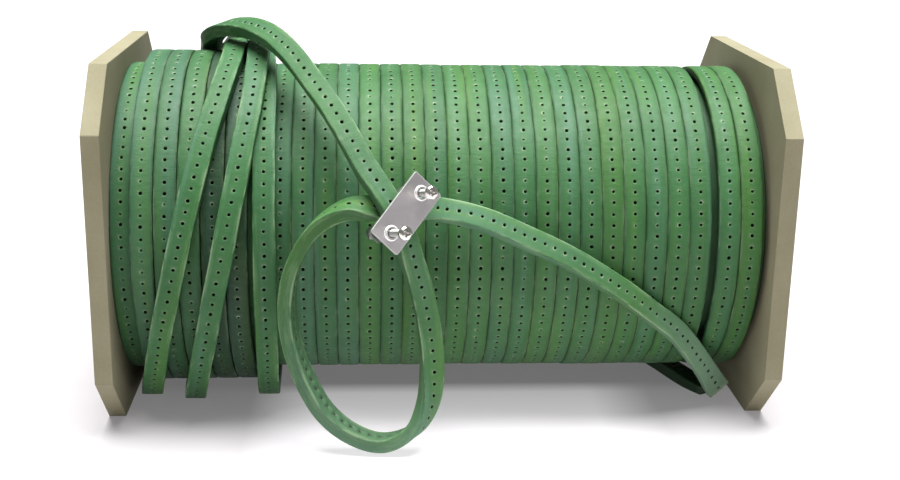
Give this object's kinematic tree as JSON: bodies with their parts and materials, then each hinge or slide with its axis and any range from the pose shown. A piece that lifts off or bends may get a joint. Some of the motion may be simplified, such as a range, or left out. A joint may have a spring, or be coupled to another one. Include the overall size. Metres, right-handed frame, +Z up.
{
  "type": "strap reel",
  "caption": "Octagonal-flanged wooden reel wound with perforated green leather strap, its loose end looped and clamped by a small screw coupling.",
  "frame": {"origin": "on the table, under the middle of the reel's axis", "axes": "+X along the reel's axis, -Y towards the side that the coupling hangs on, +Z up"},
  "size_m": [0.3262, 0.2042, 0.1808],
  "materials": {
    "strap": "dyed, semi-matte, finely grained",
    "strap_shaded": "dyed, matte",
    "board": "raw fibreboard, matte",
    "card": "spiral-wound paperboard, matte",
    "zinc": "zinc plated",
    "plate": "satin",
    "screw": "bright zinc"
  },
  "bodies": {
    "reel": {"flange_left": "board", "flange_right": "board", "core_tube": "card", "tie_rod_1": "zinc", "tie_rod_2": "zinc", "tie_rod_3": "zinc", "tie_washers_left": "zinc", "tie_washers_right": "zinc", "tie_nuts_left": "zinc", "tie_nuts_right": "zinc", "strap_layer_1": "strap_shaded", "strap_layer_2": "strap_shaded", "strap_layer_3": "strap_shaded", "strap_layer_4": "strap_shaded", "strap_layer_5": "strap", "strap_layer_6": "strap", "strap_turn_c": "strap", "strap_turn_a": "strap", "strap_turn_b": "strap", "strap_free_end": "strap", "strap_tail": "strap_shaded", "coupling_front_plate": "plate", "coupling_back_bar": "plate"},
    "lower_screw": {"lower_screw": "screw"},
    "upper_screw": {"upper_screw": "screw"},
    "lower_nut": {"lower_nut": "screw"},
    "upper_nut": {"upper_nut": "screw"}
  },
  "joints": [
    {"name": "lower_screw_slide", "type": "slide", "parent": "reel", "child": "lower_screw", "axis": [0.4405, -0.8645, 0.2419], "range_m": [-0.0095, 0]},
    {"name": "upper_screw_slide", "type": "slide", "parent": "reel", "child": "upper_screw", "axis": [0.4405, -0.8645, 0.2419], "range_m": [-0.005, 0]},
    {"name": "lower_nut_turn", "type": "hinge", "parent": "reel", "child": "lower_nut", "pos_m": [-0.03145, -0.0908, 0.09859], "axis": [0.4405, -0.8645, 0.2419], "range_deg": [0, 6860]},
    {"name": "upper_nut_turn", "type": "hinge", "parent": "reel", "child": "upper_nut", "pos_m": [-0.01876, -0.08026, 0.11315], "axis": [0.4405, -0.8645, 0.2419], "range_deg": [0, 3620]}
  ],
  "couplings": [
    {"joint": "lower_nut_turn", "follows": "lower_screw_slide", "rad_per_m": -12566},
    {"joint": "upper_nut_turn", "follows": "upper_screw_slide", "rad_per_m": -12566}
  ]
}
